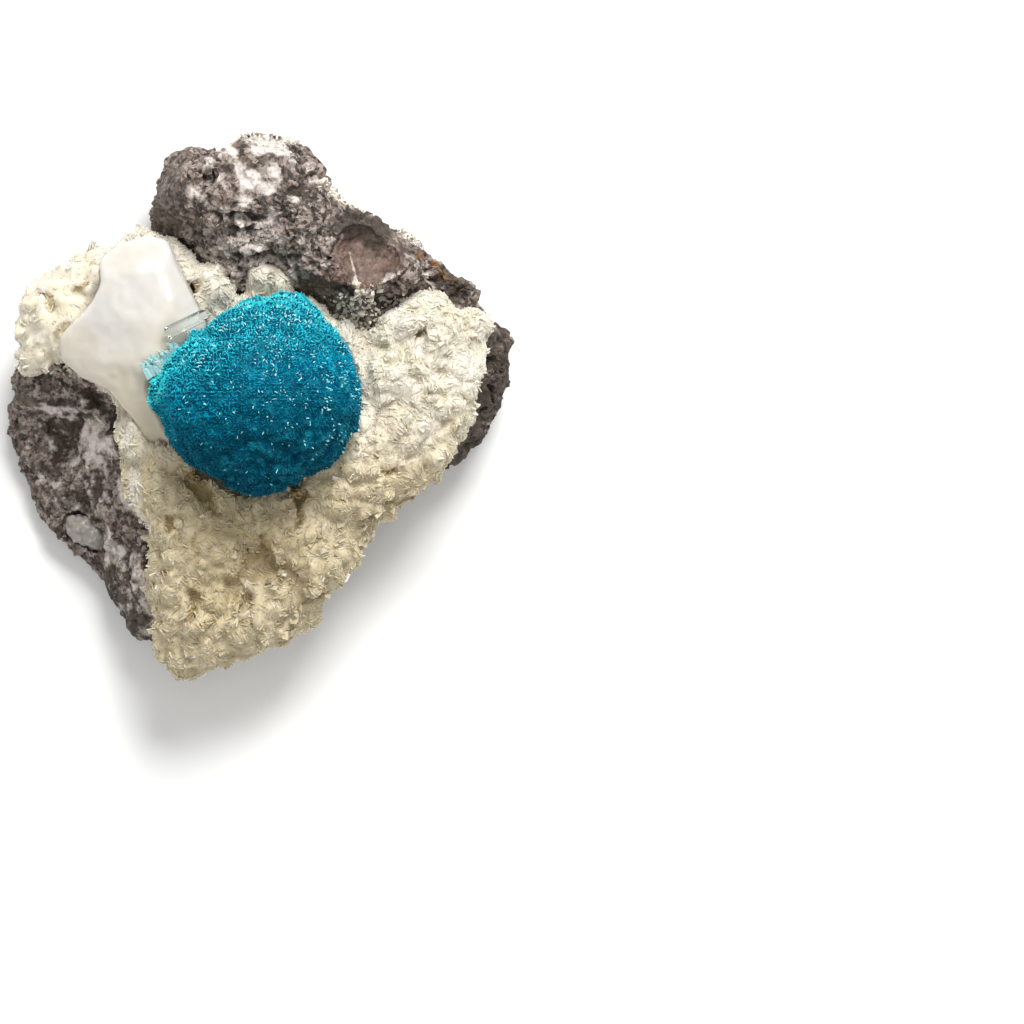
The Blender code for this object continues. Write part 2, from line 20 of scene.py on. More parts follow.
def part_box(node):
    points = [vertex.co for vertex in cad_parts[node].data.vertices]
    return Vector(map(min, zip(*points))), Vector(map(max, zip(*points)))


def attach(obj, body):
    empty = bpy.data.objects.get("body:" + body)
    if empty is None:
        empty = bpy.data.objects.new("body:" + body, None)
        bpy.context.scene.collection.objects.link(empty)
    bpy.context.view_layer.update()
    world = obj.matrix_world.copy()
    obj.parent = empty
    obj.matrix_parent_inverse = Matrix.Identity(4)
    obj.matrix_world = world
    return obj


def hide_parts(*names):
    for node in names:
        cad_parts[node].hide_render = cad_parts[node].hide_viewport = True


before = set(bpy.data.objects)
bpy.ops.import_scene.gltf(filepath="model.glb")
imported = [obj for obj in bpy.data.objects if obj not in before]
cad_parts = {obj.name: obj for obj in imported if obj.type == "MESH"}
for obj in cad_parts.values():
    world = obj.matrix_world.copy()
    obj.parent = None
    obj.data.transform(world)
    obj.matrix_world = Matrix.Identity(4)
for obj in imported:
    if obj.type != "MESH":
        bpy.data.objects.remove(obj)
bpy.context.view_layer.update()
MM = 0.001

# %% [markdown]
# ## Camera, light and floor
#
# The specimen is seen from straight above, as on a copy stand. A wide lens close by would show the
# walls of the rock too, so a long lens far off is used, which keeps the sides upright. A large soft
# light stands behind it, high up, so that the upper half of the ball is lit and its lower half falls
# into deep blue. A weaker light from the front, one from above and the pale floor fill the shade.

# %% Camera
CAMERA_HEIGHT = 0.6
VIEW_WIDTH = 84.63 * MM
VIEW_CENTRE = (21.24 * MM, -8.71 * MM, 12 * MM)

camera = bpy.data.objects.new("camera", bpy.data.cameras.new("camera"))
bpy.context.scene.collection.objects.link(camera)
camera.data.sensor_width = 36
camera.data.lens = 36 * (CAMERA_HEIGHT - VIEW_CENTRE[2]) / VIEW_WIDTH
camera.data.clip_start = 0.01
camera.location = (VIEW_CENTRE[0], VIEW_CENTRE[1], CAMERA_HEIGHT)
bpy.context.scene.camera = camera
bpy.context.scene.view_settings.view_transform = "Standard"
print("lens", round(camera.data.lens, 1), "mm")

# %% Lights
def soft_light(name, place, target, size, power):
    """A square soft box that faces its target."""
    lamp = bpy.data.lights.new(name, "AREA")
    lamp.size = size
    lamp.energy = power
    box = bpy.data.objects.new(name, lamp)
    box.location = place
    box.rotation_euler = (Vector(target) - Vector(place)).to_track_quat("-Z", "Y").to_euler()
    bpy.context.scene.collection.objects.link(box)


MIDDLE = (0, 0, 0.01)
soft_light("key", (0.13, 0.4, 0.44), MIDDLE, size=0.26, power=4.8)
soft_light("front fill", (-0.15, -0.4, 0.5), MIDDLE, size=0.4, power=0.9)
soft_light("top fill", (0.02, 0.0, 0.8), MIDDLE, size=0.35, power=0.65)
world = bpy.data.worlds.new("studio")
world.use_nodes = True
world.node_tree.nodes["Background"].inputs["Color"].default_value = (1, 1, 1, 1)
world.node_tree.nodes["Background"].inputs["Strength"].default_value = 0.38
bpy.context.scene.world = world

# %% Floor
floor_mesh = bmesh.new()
bmesh.ops.create_grid(floor_mesh, x_segments=1, y_segments=1, size=2.0)
floor = bpy.data.objects.new("floor", bpy.data.meshes.new("floor"))
floor_mesh.to_mesh(floor.data)
floor_mesh.free()
bpy.context.scene.collection.objects.link(floor)
print("floor", 2 * max(vert.co.x for vert in floor.data.vertices), "m wide")

# %% [markdown]
# ## Small tools
#
# Every finish is a material made of nodes. They could be laid out by hand in the shader editor, but here
# a few helpers do it: one turns the hex colours of a paint chart into the linear values that the
# renderer counts in, one adds a node with its settings and its links, one starts a material, and one
# lays colours over each other as coats of paint, each where a pattern or a mark lets it.

# %% Colours and nodes
CLOUDY = {"Detail": 4.0, "Roughness": 0.55}


def colour(code):
    """A linear colour from an sRGB hex code."""
    channels = [int(code[i : i + 2], 16) / 255 for i in (1, 3, 5)]
    return (*[c / 12.92 if c <= 0.04045 else ((c + 0.055) / 1.055) ** 2.4 for c in channels], 1.0)


def add(tree, kind, inputs=None, out=0, **settings):
    """An output of a new node: settings are its own options, inputs are values or sockets that feed it."""
    new = tree.nodes.new(kind)
    for name, value in settings.items():
        setattr(new, name, value)
    for name, value in (inputs or {}).items():
        socket = new.inputs[name]
        if isinstance(value, bpy.types.NodeSocket):
            tree.links.new(value, socket)
        else:
            socket.default_value = value
    return new.outputs[out]


print("mid grey #808080 is", round(colour("#808080")[0], 3), "in linear light")

# %% Finishes
def finish_of(name, *marks):
    """A material: itself, its tree, its shader, the object's own coordinates, and the marks on its piece."""
    material = bpy.data.materials.new(name)
    material.use_nodes = True
    tree = material.node_tree
    place = add(tree, "ShaderNodeTexCoord", out="Object")
    carried = [add(tree, "ShaderNodeAttribute", out="Fac", attribute_name=mark) for mark in marks]
    return (material, tree, tree.nodes["Principled BSDF"], place, *carried)


def layered(tree, ground, layers):
    """Colours over a ground colour, each where its source rises from low to high, and as strong as given."""
    body = colour(ground)
    for source, low, high, strength, tint in layers:
        share = add(tree, "ShaderNodeMapRange", {0: source, 1: low, 2: high, 4: strength})
        top = colour(tint) if isinstance(tint, str) else tint
        body = add(tree, "ShaderNodeMix", {0: share, 6: body, 7: top}, 2, data_type="RGBA")
    return body


def card_finish():
    """White card: matt, and pale enough to throw light back up under the specimen."""
    material, _, shader, _ = finish_of("white card")
    shader.inputs["Base Color"].default_value = colour("#f4f4f2")
    shader.inputs["Roughness"].default_value = 0.9
    return material


floor.data.materials.append(card_finish())
print("floor of", floor.data.materials[0].name)

# %% [markdown]
# ## Copying a CAD node
#
# A node's mesh is loose triangles. A copy with its doubles merged is one closed skin, which can be
# evened out, smoothed, cut finer and roughened.

# %% Copies and pieces
def copy_of(node):
    """A closed bmesh of a CAD node."""
    bm = bmesh.new()
    bm.from_mesh(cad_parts[node].data)
    bmesh.ops.remove_doubles(bm, verts=bm.verts, dist=0.002 * MM)
    return bm


def piece(name, bm, finish, node=None, slot=None, smooth=False):
    """A finished object from a bmesh, riding with the specimen; smooth rounds off all its faces."""
    mesh = bpy.data.meshes.new(name)
    bm.to_mesh(mesh)
    bm.free()
    thing = bpy.data.objects.new(name, mesh)
    bpy.context.scene.collection.objects.link(thing)
    mesh.materials.append(finish)
    if smooth:
        mesh.shade_smooth()
    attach(thing, "root")
    if node:
        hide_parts(node)
    print(name, sum(len(face.vertices) - 2 for face in mesh.polygons), "triangles")
    return thing


def evened(bm, size, rounds):
    """The same form as an even mesh of small squares, smoothed a number of rounds."""
    mesh = bpy.data.meshes.new("form")
    bm.to_mesh(mesh)
    bm.free()
    form = bpy.data.objects.new("form", mesh)
    bpy.context.scene.collection.objects.link(form)
    remesh = form.modifiers.new("even", "REMESH")
    remesh.mode = "VOXEL"
    remesh.voxel_size = size * MM
    smooth = form.modifiers.new("smooth", "SMOOTH")
    smooth.factor = 0.5
    smooth.iterations = rounds
    even = bmesh.new()
    even.from_object(form, bpy.context.evaluated_depsgraph_get())
    bpy.data.objects.remove(form)
    bpy.data.meshes.remove(mesh)
    even.normal_update()
    return even


skin = copy_of("clear_prism")
print("clear_prism has", len(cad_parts["clear_prism"].data.vertices), "points,", len(skin.verts), "once merged")
skin.free()

# %% [markdown]
# ## Noise and patches
#
# Nature's surfaces are described here by a few kinds of noise, all measured in millimetres, and by
# patches: ellipses with ragged edges that say where on the specimen something is found.

# %% Noise in millimetres
def ripple(point, size, layer=0):
    """Smooth noise from about -0.8 to 0.8 with swells of size mm, at a place in mm."""
    return noise.noise(point / size + Vector((layer * 13.7, layer * 7.1, layer * 3.3)))


def broken(point, size, layer=0):
    """Creased noise from about -0.4 to 0.6: rounded fragments size mm across with sharp cracks."""
    return noise.turbulence(point / size + Vector((layer * 5.1, layer * 9.3, layer * 2.7)), 3, True) - 0.4


def dome(point, size, layer=0):
    """Rounded lumps size mm apart: near 1 on a lump, down to 0 in the crease between lumps."""
    return 1 - noise.voronoi(point / size + Vector((layer * 4.3, layer * 8.9, 0)))[0][0] ** 2


def rise(value, low, high):
    """Smooth step from 0 at low to 1 at high."""
    share = min(1.0, max(0.0, (value - low) / (high - low)))
    return share * share * (3 - 2 * share)


def within(point, patches, ragged=0.25):
    """How far a place in mm lies inside any patch (x, y, long, wide, turn in degrees), 0 to 1."""
    wander = ragged * ripple(point, 1.3, 11) + 0.5 * ragged * ripple(point, 0.4, 12)
    best = 0.0
    for x, y, long, wide, turn in patches:
        away = complex(point.x - x, point.y - y)
        if abs(away) < 1.6 * max(long, wide):
            away *= complex(math.cos(math.radians(turn)), -math.sin(math.radians(turn)))
            best = max(best, 1 - rise(math.hypot(away.real / long, away.imag / wide) + wander, 0.7, 1.25))
    return best


print("1 mm from the middle of a 2 mm patch:", round(within(Vector((1, 0, 0)), [(0, 0, 2, 2, 0)]), 2), "inside")

# %% [markdown]
# ## Planting crystals
#
# A crust of crystals is one small form repeated thousands of times, never twice the same way. The
# form is modelled once. Places for it are drawn at random on a surface, never closer together than
# crystals grow, and each copy gets its own size, turn and lean. Each copy also carries marks that its
# material reads, such as a random shade, so that no two neighbours have quite the same colour. A
# scatter of instances could do this too, but the piece has to be one mesh in the end, and multiplying
# the form's points by all the matrices at once is a quick way to make it.

# %% Crystal forms
def blade_form(taper=0.7, slant=0.3):
    """A blade one unit wide, thick and tall, narrower and slanted at its end."""
    bm = bmesh.new()
    bmesh.ops.create_cube(bm, size=1.0, matrix=Matrix.Translation((0, 0, 0.5)))
    for vert in bm.verts:
        if vert.co.z > 0.5:
            vert.co.z -= slant * (vert.co.x + 0.5)
            vert.co.x *= taper
            vert.co.y *= 0.5
    return bm


def plant(name, form, stands, marks, finish, **links):
    """One joined piece with a copy of the form at each stand: a matrix and a value for each mark."""
    form.verts.index_update()
    points = np.array([vert.co for vert in form.verts])
    faces = [[vert.index for vert in face.verts] for face in form.faces]
    form.free()
    turns = np.array([stand[0] for stand in stands])
    everywhere = np.einsum("nij,pj->npi", turns[:, :3, :3], points) + turns[:, None, :3, 3]
    count = len(points)
    mesh = bpy.data.meshes.new(name)
    mesh.from_pydata(
        everywhere.reshape(-1, 3).tolist(),
        [],
        [[corner + count * number for corner in face] for number in range(len(stands)) for face in faces],
    )
    columns = {mark: np.repeat([stand[1][i] for stand in stands], count) for i, mark in enumerate(marks)}
    columns["tip"] = np.tile(points[:, 2], len(stands))
    for mark, values in columns.items():
        mesh.attributes.new(mark, "FLOAT", "POINT").data.foreach_set("value", values)
    bm = bmesh.new()
    bm.from_mesh(mesh)
    bpy.data.meshes.remove(mesh)
    return piece(name, bm, finish, **links)


# %% Places on a surface
def places_on(bm, spacing, keep, seed, tries=4.0):
    """Random places on a mesh, at least spacing mm apart, as pairs of point and outward direction."""
    draw = np.random.default_rng(seed)
    bm.normal_update()
    bm.faces.ensure_lookup_table()
    faces = [face for face in bm.faces if keep(face.calc_center_median() / MM, face.normal)]
    areas = np.array([face.calc_area() for face in faces])
    count = int(areas.sum() / (spacing * MM) ** 2 * tries)
    chosen = draw.choice(len(faces), size=count, p=areas / areas.sum())
    shares = draw.random((count, 4))
    cell = spacing * MM
    taken = {}
    found = []
    for number, pick in enumerate(chosen):
        corners = faces[pick].verts
        weights = shares[number, : len(corners)]
        point = Vector()
        out = Vector()
        for vert, weight in zip(corners, weights / weights.sum()):
            point += vert.co * float(weight)
            out += vert.normal * float(weight)
        home = tuple(int(math.floor(c / cell)) for c in point)
        near = (
            taken.get((home[0] + i, home[1] + j, home[2] + k))
            for i in (-1, 0, 1)
            for j in (-1, 0, 1)
            for k in (-1, 0, 1)
        )
        if all(other is None or (other - point).length > cell for other in near):
            taken[home] = point
            found.append((point, out.normalized()))
    return found


def standing(point, axis, along, width, thick, tall, sink):
    """The matrix of a crystal at a place: its length by axis, its width by along, sizes in mm."""
    side = axis.cross(along).normalized()
    upright = Matrix((side.cross(axis), side, axis)).transposed()
    matrix = Matrix.Translation(point - axis * sink * MM) @ upright.to_4x4()
    return matrix @ Matrix.Diagonal((width * MM, thick * MM, tall * MM, 1))


def about(rng, amount):
    """A random direction to lean by."""
    return Vector([rng.gauss(0, amount) for i in range(3)])


# %% [markdown]
# ## The ball
#
# Cavansite grows as blades that all start from one point, so that the ball's skin is nothing but the
# ends of blades, a third of a millimetre wide and a tenth thick. From a step away it looks like
# velvet, and up close each blade end is a short stroke, some of them flashing. Those flashes are painted
# pale on a few blades, as painted glints, and the upper side is painted lighter, as painted light. A
# bumpy material on a sphere would keep a smooth outline, so the blades are real. A smooth core carries
# the shape and the deep colour, and the blades stand on it.

# %% Cavansite finish
def cavansite_finish():
    """Cavansite: vitreous blades, deep teal blue with painted shade in the gaps, cyan at the tips and pale where thin,
    painted lighter on the upper side as light, a few painted pale as glints.
    """
    marks = ("shade", "tip", "pale_tips_and_painted_light")
    material, tree, shader, place, shade, tip, pale_tips_and_painted_light = finish_of("cavansite, vitreous blades", *marks)
    # Neighbouring blades are alike in patches of 1.4 and 0.7 mm. The fine lines along one blade are far
    # thinner than a pixel of the render, which is 0.08 mm, so the patches alone are drawn.
    swell = {**CLOUDY, "Vector": place, "Scale": 1 / (1.4 * MM)}
    swell = add(tree, "ShaderNodeTexNoise", swell, "Fac")
    cluster = {**CLOUDY, "Vector": place, "Scale": 1 / (0.7 * MM), "Detail": 2.0}
    cluster = add(tree, "ShaderNodeTexNoise", cluster, "Fac")
    layers = [
        # Cyan where the blades are thin and pale, and painted light towards the upper side, where the key light falls.
        (pale_tips_and_painted_light, 0.0, 0.5, 1.0, "#00a4c6"),
        (pale_tips_and_painted_light, 0.5, 1.0, 1.0, "#3fe0ea"),
        (swell, 0.4, 0.65, 0.6, "#004258"),
        (cluster, 0.5, 0.68, 0.3, "#30c8dc"),
        (shade, 1.0, 0.0, 0.2, "#004560"),
        # Painted shade towards the roots of the blades and on the core between them.
        (tip, 0.7, 0.2, 0.3, "#004058"),
        # Painted glints: the few blades marked pale.
        (shade, 0.94, 0.99, 1.0, "#9fe8ee"),
    ]
    tree.links.new(layered(tree, "#004b5f", layers), shader.inputs["Base Color"])
    gloss = add(tree, "ShaderNodeMapRange", {0: tip, 3: 0.7, 4: 0.25})
    tree.links.new(gloss, shader.inputs["Roughness"])
    shader.inputs["IOR"].default_value = 1.54
    shader.inputs["Specular IOR Level"].default_value = 0.06
    shader.inputs["Subsurface Weight"].default_value = 0.15
    shader.inputs["Subsurface Scale"].default_value = 0.4 * MM
    shader.inputs["Subsurface Radius"].default_value = (0.1, 0.7, 1.0)
    return material


cavansite = cavansite_finish()
print(cavansite.name, len(cavansite.node_tree.nodes), "nodes")

# %% Where the ball changes
LOWER_LOBE = (0.6, -6.0, 3.2)
PALE_TIPS = [(-8.6, 1.0, 1.8, 1.2, 40), (-6.5, 3.6, 2.4, 0.6, 40), (1.0, 8.6, 3.0, 0.9, 0)]
# GLEAMING: patches where more blades are painted pale as glints.
GLEAMING = [(3.1, 7.2, 0.35, 0.6, 20), (-9.1, 0.7, 0.5, 0.9, 30), (2.6, 1.2, 0.5, 0.4, 0)]


def groove(point):
    """The crease around the lower lobe of the ball, 0 to 1."""
    x, y, radius = LOWER_LOBE
    gap = abs(math.hypot(point.x - x, point.y - y) - radius)
    open_part = rise(point.y - y, 0.5, 1.8) * (0.35 + 0.65 * rise(ripple(point, 1.3, 8), -0.3, 0.3))
    return (1 - rise(gap + 0.6 * ripple(point, 0.8, 4), 0.0, 0.8)) * open_part


print("crease above the lower lobe", round(groove(Vector((0.6, -2.8, 20))), 2))

# %% Ball core
def make_core():
    """The core, with soft lumps and the crease pressed into it."""
    core = evened(copy_of("cavansite_ball"), size=0.35, rounds=8)
    moves = []
    for vert in core.verts:
        point = vert.co / MM
        depth = 0.2 - 0.3 * ripple(point, 1.4, 1) - 0.18 * ripple(point, 0.6, 2) + 0.75 * groove(point)
        moves.append((vert, vert.normal * depth * MM))
    for vert, move in moves:
        vert.co -= move
    return core


core = make_core()
print("core", len(core.verts), "points")

# %% Ball blades
BLADE_SPACING = 0.17
BLADE_SINK = 0.34


def blade_stands(core):
    """Where the blades stand on the core, each with its shade, its paleness where thin and its painted light."""
    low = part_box("cavansite_ball")[0][2] / MM + 0.6
    rng = random.Random(3)
    stands = []
    for point, out in places_on(core, BLADE_SPACING, lambda centre, normal: centre.z > low, seed=5):
        spot = point / MM
        axis = (out + about(rng, 0.35)).normalized()
        swirl = 2.0 * ripple(spot, 1.5, 2) * math.pi
        along = Matrix.Rotation(swirl + rng.gauss(0, 0.9), 3, axis) @ axis.orthogonal()
        # Painted glints: a few blades, more towards the upper right where the key light falls and in the GLEAMING
        # patches, are painted pale and made narrower.
        sparkle = (0.015 + 0.14 * rise(0.4 * spot.x + spot.y, -3, 5)) * (1 + 2.2 * ripple(spot, 1.3, 9))
        flash = rng.random() < sparkle + 0.7 * within(spot, GLEAMING, 0.4)
        # Pale where the blades are thin, and painted light rising towards the upper side, where the key light falls.
        pale_tips_and_painted_light = min(1.0, 0.6 * within(spot, PALE_TIPS, 0.4) + 0.85 * rise(spot.y - 0.25 * spot.x, -4.5, 7))
        width = rng.uniform(0.2, 0.42) * (0.6 if flash else 1.0)
        thick, tall = rng.uniform(0.07, 0.14), rng.uniform(0.42, 0.6)
        stand = standing(point, axis, along, width, thick, tall, BLADE_SINK)
        stands.append((stand, (1.0 if flash else 0.93 * rng.random(), pale_tips_and_painted_light)))
    return stands


stands = blade_stands(core)
links = {"node": "cavansite_ball", "slot": "cavansite"}
piece("cavansite_core", core, cavansite, smooth=True, **links)
plant("cavansite_blades", blade_form(), stands, ("shade", "pale_tips_and_painted_light"), cavansite, **links)

# %% [markdown]
# ## The crust
#
# The crust is heulandite and stilbite: thin plates, pearly and translucent, that fan out from the
# middle of each rounded lump. Between the lumps shade falls, painted in olive to brown. At the upper left
# it is nearly smooth, with a few crooked crevices. Pushing the surface in and out alone would look like
# popcorn, and long plates like a hedgehog. So the bed carries the lumps and the creases with painted
# shade in them, and the plates are planted on it in fans, with only their ends standing out.

# %% Zeolite finish
def zeolite_finish():
    """Heulandite and stilbite: pearly, translucent, cream to tan, the tan partly painted shade; painted shade, olive
    brown, in the creases and at the plate roots; painted glints on a few plates.
    """
    marks = ("shade", "tan", "crease", "tip")
    material, tree, shader, place, shade, tan, crease, tip = finish_of("heulandite, pearly plates", *marks)
    broad = {**CLOUDY, "Vector": place, "Scale": 1 / (3.0 * MM)}
    broad = add(tree, "ShaderNodeTexNoise", broad, "Fac")
    layers = [
        (shade, 0.0, 1.0, 1.0, "#eae4d7"),
        (broad, 0.42, 0.72, 1.0, "#dcd4ba"),
        # Tan: partly the crust's own colour, partly painted shade towards the lower end and below the ball.
        (tan, 0.0, 1.0, 1.0, layered(tree, "#b7a47d", [(shade, 0.0, 1.0, 1.0, "#cfc19c")])),
        # Painted shade in the crevices and the creases between lumps.
        (crease, 0.0, 1.0, 1.0, "#9b8559"),
        # Painted glints on a few plates.
        (shade, 0.95, 0.98, 0.7, "#fffcf4"),
        # Painted shade at the roots of the plates and, a little, on the bed.
        (tip, 0.9, 0.0, 0.1, "#9a875f"),
    ]
    tree.links.new(layered(tree, "#dbd3c0", layers), shader.inputs["Base Color"])
    gloss = add(tree, "ShaderNodeMapRange", {0: tip, 1: 0.5, 3: 0.6, 4: 0.18})
    tree.links.new(gloss, shader.inputs["Roughness"])
    # The growth steps on a plate are finer than a pixel of 0.08 mm, so they are drawn 0.22 mm wide to show.
    edges = {**CLOUDY, "Vector": place, "Scale": 1 / (0.22 * MM), "Detail": 2.0}
    edges = add(tree, "ShaderNodeTexNoise", edges, "Fac")
    edges = add(tree, "ShaderNodeBump", {"Height": edges, "Distance": 0.06 * MM, "Strength": 0.6}, "Normal")
    tree.links.new(edges, shader.inputs["Normal"])
    shader.inputs["IOR"].default_value = 1.5
    shader.inputs["Subsurface Weight"].default_value = 0.5
    shader.inputs["Subsurface Scale"].default_value = 0.7 * MM
    shader.inputs["Subsurface Radius"].default_value = (1.0, 0.92, 0.75)
    return material


zeolite = zeolite_finish()
print(zeolite.name, len(zeolite.node_tree.nodes), "nodes")

# %% Where the crust changes
CREVICES = [
    (-4.2, -7.1, 0.7, 2.0, 35), (3.5, -8.1, 0.35, 2.1, 0), (1.1, -11.8, 0.6, 1.3, 20), (-0.9, -16.0, 0.7, 0.6, 0),
    (-5.4, -16.6, 0.5, 1.5, -20), (-7.4, -9.5, 0.4, 0.6, 0), (-7.4, -13.8, 0.3, 0.5, 0), (11.2, -5.4, 0.4, 0.7, 0),
    (13.8, 5.7, 0.3, 1.2, -25), (-17.0, 8.5, 0.3, 0.7, 10), (-14.8, 9.8, 0.35, 1.0, -40), (-16.1, 6.3, 0.9, 0.35, 40),
    (-12.9, 11.4, 0.9, 0.25, -10), (-5.6, 9.4, 0.5, 0.9, 30),
]
# BROWNER: browner patches, partly the crust's own colour and partly painted shade below the ball.
BROWNER = [
    (-0.3, -11.4, 4.5, 3.0, 0), (14.9, 0.8, 1.2, 1.0, 0), (-3.5, -15.5, 2.0, 3.0, -20), (-4.5, -7.5, 1.6, 2.6, 35),
]
WHITER = [(-9.9, -7.0, 0.5, 6.5, 8), (9.0, 6.0, 3.0, 4.0, 0)]
SWOLLEN = [(0.6, 10.4, 3.2, 1.1, -5), (-3.4, 10.2, 1.6, 1.2, -40)]
SMOOTH_PLACES = [(-15.5, 8.0, 6.5, 6.0, 0)]


def wander(point):
    """The place moved about a little, so that what is looked up there has a crooked outline."""
    return point + 0.9 * Vector((ripple(point, 1.6, 21), ripple(point, 1.6, 22), 0))


def tan_at(point):
    """How tan the crust is at a place in mm: cream above the ball, tan towards the lower end, partly its own colour
    and partly painted shade away from the key light and below the ball.
    """
    tan = 0.1 + 0.75 * rise(-point.y + 2.5 * ripple(point, 3.0, 5), -1.0, 7.0) + 0.3 * within(point, BROWNER, 0.4)
    return max(0.0, min(1.0, tan - 0.8 * within(point, WHITER, 0.5)))


print("tan above the ball", round(tan_at(Vector((0, 12, 14))), 2), "and below", round(tan_at(Vector((0, -15, 14))), 2))

# %% Crust bed
LUMPS = 3.6
SMALL_LUMPS = 1.5


def make_bed():
    """The bed: lumps, creases and crevices pressed into the crust, no deeper than it is thick."""
    bed = evened(copy_of("heulandite_druse"), size=0.25, rounds=5)
    skin = BVHTree.FromBMesh(bed)
    block = BVHTree.FromBMesh(copy_of("milky_crystal"))
    layers = {mark: bed.verts.layers.float.new(mark) for mark in ("shade", "tan", "crease", "tip")}
    moves = []
    for vert in bed.verts:
        point = vert.co / MM
        smooth = within(point, SMOOTH_PLACES)
        crevice = within(wander(point), CREVICES, 0.5)
        lump = dome(point, LUMPS, 1)
        beside = rise(block.find_nearest(vert.co)[3] / MM, 0.1, 1.5)
        height = 1.6 * lump + 0.3 * dome(point, SMALL_LUMPS, 2) + 0.3 * ripple(point, 0.8, 3) * (1 - smooth)
        height = (height - 1.35 + 1.6 * within(point, SWOLLEN)) * beside * (1 - 0.8 * smooth)
        height += smooth * (0.16 * broken(point, 0.9, 16) + 0.1) + 0.4 * (1 - beside)
        height -= crevice * (0.65 - 0.35 * smooth)
        far = skin.ray_cast(vert.co - vert.normal * 0.02 * MM, -vert.normal)[3] or 4 * MM
        height = max(height, -0.5 * far / MM)
        moves.append((vert, vert.normal * height * MM * rise(vert.normal.z, -0.5, 0.1)))
        # Painted shade: darker in the crevices and in the creases between the lumps.
        crease = crevice * (1 - 0.3 * smooth) + 0.7 * (1 - rise(lump, 0.2, 0.6)) * (1 - smooth)
        vert[layers["crease"]] = min(1.0, crease)
        vert[layers["tan"]] = tan_at(point)
        vert[layers["shade"]] = 0.6 - 0.25 * smooth
        vert[layers["tip"]] = 0.6 + 0.3 * smooth
    for vert, move in moves:
        vert.co += move
    return bed


bed = make_bed()
print("bed", len(bed.verts), "points")

# %% Crust plates
PLATE_SPACING = 0.215
SHEAVES = 3.1


def fan(point, out, rng, size):
    """The direction of a plate that leans away from the middle of its sheaf, and that lean itself."""
    shift = Vector((4.3, 8.9, 0))
    middle = noise.voronoi(point / size + shift)[1][0] - shift
    outward = point - middle * size
    outward -= out * outward.dot(out)
    lean = outward * (1.9 / size) + about(rng, 0.45)
    return (out + lean).normalized(), out + about(rng, 0.4)


def plate_stands(bed):
    """Where the plates stand on the bed, in fans, each with its shade, its tan and how much painted shade its crease
    gets.
    """
    rng = random.Random(7)
    stands = []
    for point, out in places_on(bed, PLATE_SPACING, lambda centre, normal: normal.z > -0.6, seed=9):
        spot = point / MM
        smooth = within(spot, SMOOTH_PLACES)
        if smooth > 0.5 + 0.8 * rng.random():
            continue
        crevice = within(wander(spot), CREVICES, 0.5)
        lump = dome(spot, LUMPS, 1)
        axis, along = fan(spot, out, rng, SHEAVES)
        size = 0.65 + 0.35 * lump - 0.3 * crevice
        tall = rng.uniform(0.6, 1.0) * size
        sink = tall - rng.uniform(0.06, 0.28) * size * (1 - 0.35 * smooth)
        width = 0.3 + 0.5 * rng.random() ** 2
        stand = standing(point, axis, along, width, rng.uniform(0.07, 0.15), tall, sink)
        # Painted shade in the crevices and between the lumps.
        crease = min(1.0, 0.8 * crevice + 0.5 * (1 - rise(lump, 0.2, 0.55)))
        stands.append((stand, (rng.random(), tan_at(spot), crease)))
    return stands


stands = plate_stands(bed)
links = {"node": "heulandite_druse", "slot": "zeolite_crust"}
piece("zeolite_bed", bed, zeolite, smooth=True, **links)
plant("zeolite_plates", blade_form(0.6), stands, ("shade", "tan", "crease"), zeolite, **links)

# %% [markdown]
# ## The basalt
#
# Vesicular basalt breaks with a rough grey-brown face full of pits, and old gas bubbles leave smooth
# bowls in it. A displacement modifier would cut the hidden underside as finely as the top. So the copy
# of the node is cut finer only where the rock is bare and seen, and then roughened with flat chips,
# ledges and pits. A pale mineral film coats what stands proud, iron has rusted one edge, and mauve
# clay lines the large bubble. Shade is painted into the low places, the hollows and the facets turned
# from the key light, and light onto the ledge tops of the granular rows and the lower rim of the bubble.

# %% Basalt finish
def basalt_specks(tree, place):
    """The mineral grains of the rock, with crooked edges: a random value for each.

    Real grains of such basalt are mostly about 0.1 mm, too fine to show, so they are drawn 0.38 mm across.
    """
    bend = add(tree, "ShaderNodeTexNoise", {"Vector": place, "Scale": 1 / (0.5 * MM), "Detail": 2.0}, "Color")
    bend = add(tree, "ShaderNodeVectorMath", {0: bend, 3: 0.5 * MM}, operation="SCALE")
    crooked = add(tree, "ShaderNodeVectorMath", {0: place, 1: bend}, operation="ADD")
    grains = add(tree, "ShaderNodeTexVoronoi", {"Vector": crooked, "Scale": 1 / (0.38 * MM)}, "Color")
    return add(tree, "ShaderNodeSeparateColor", {"Color": grains}, "Red")


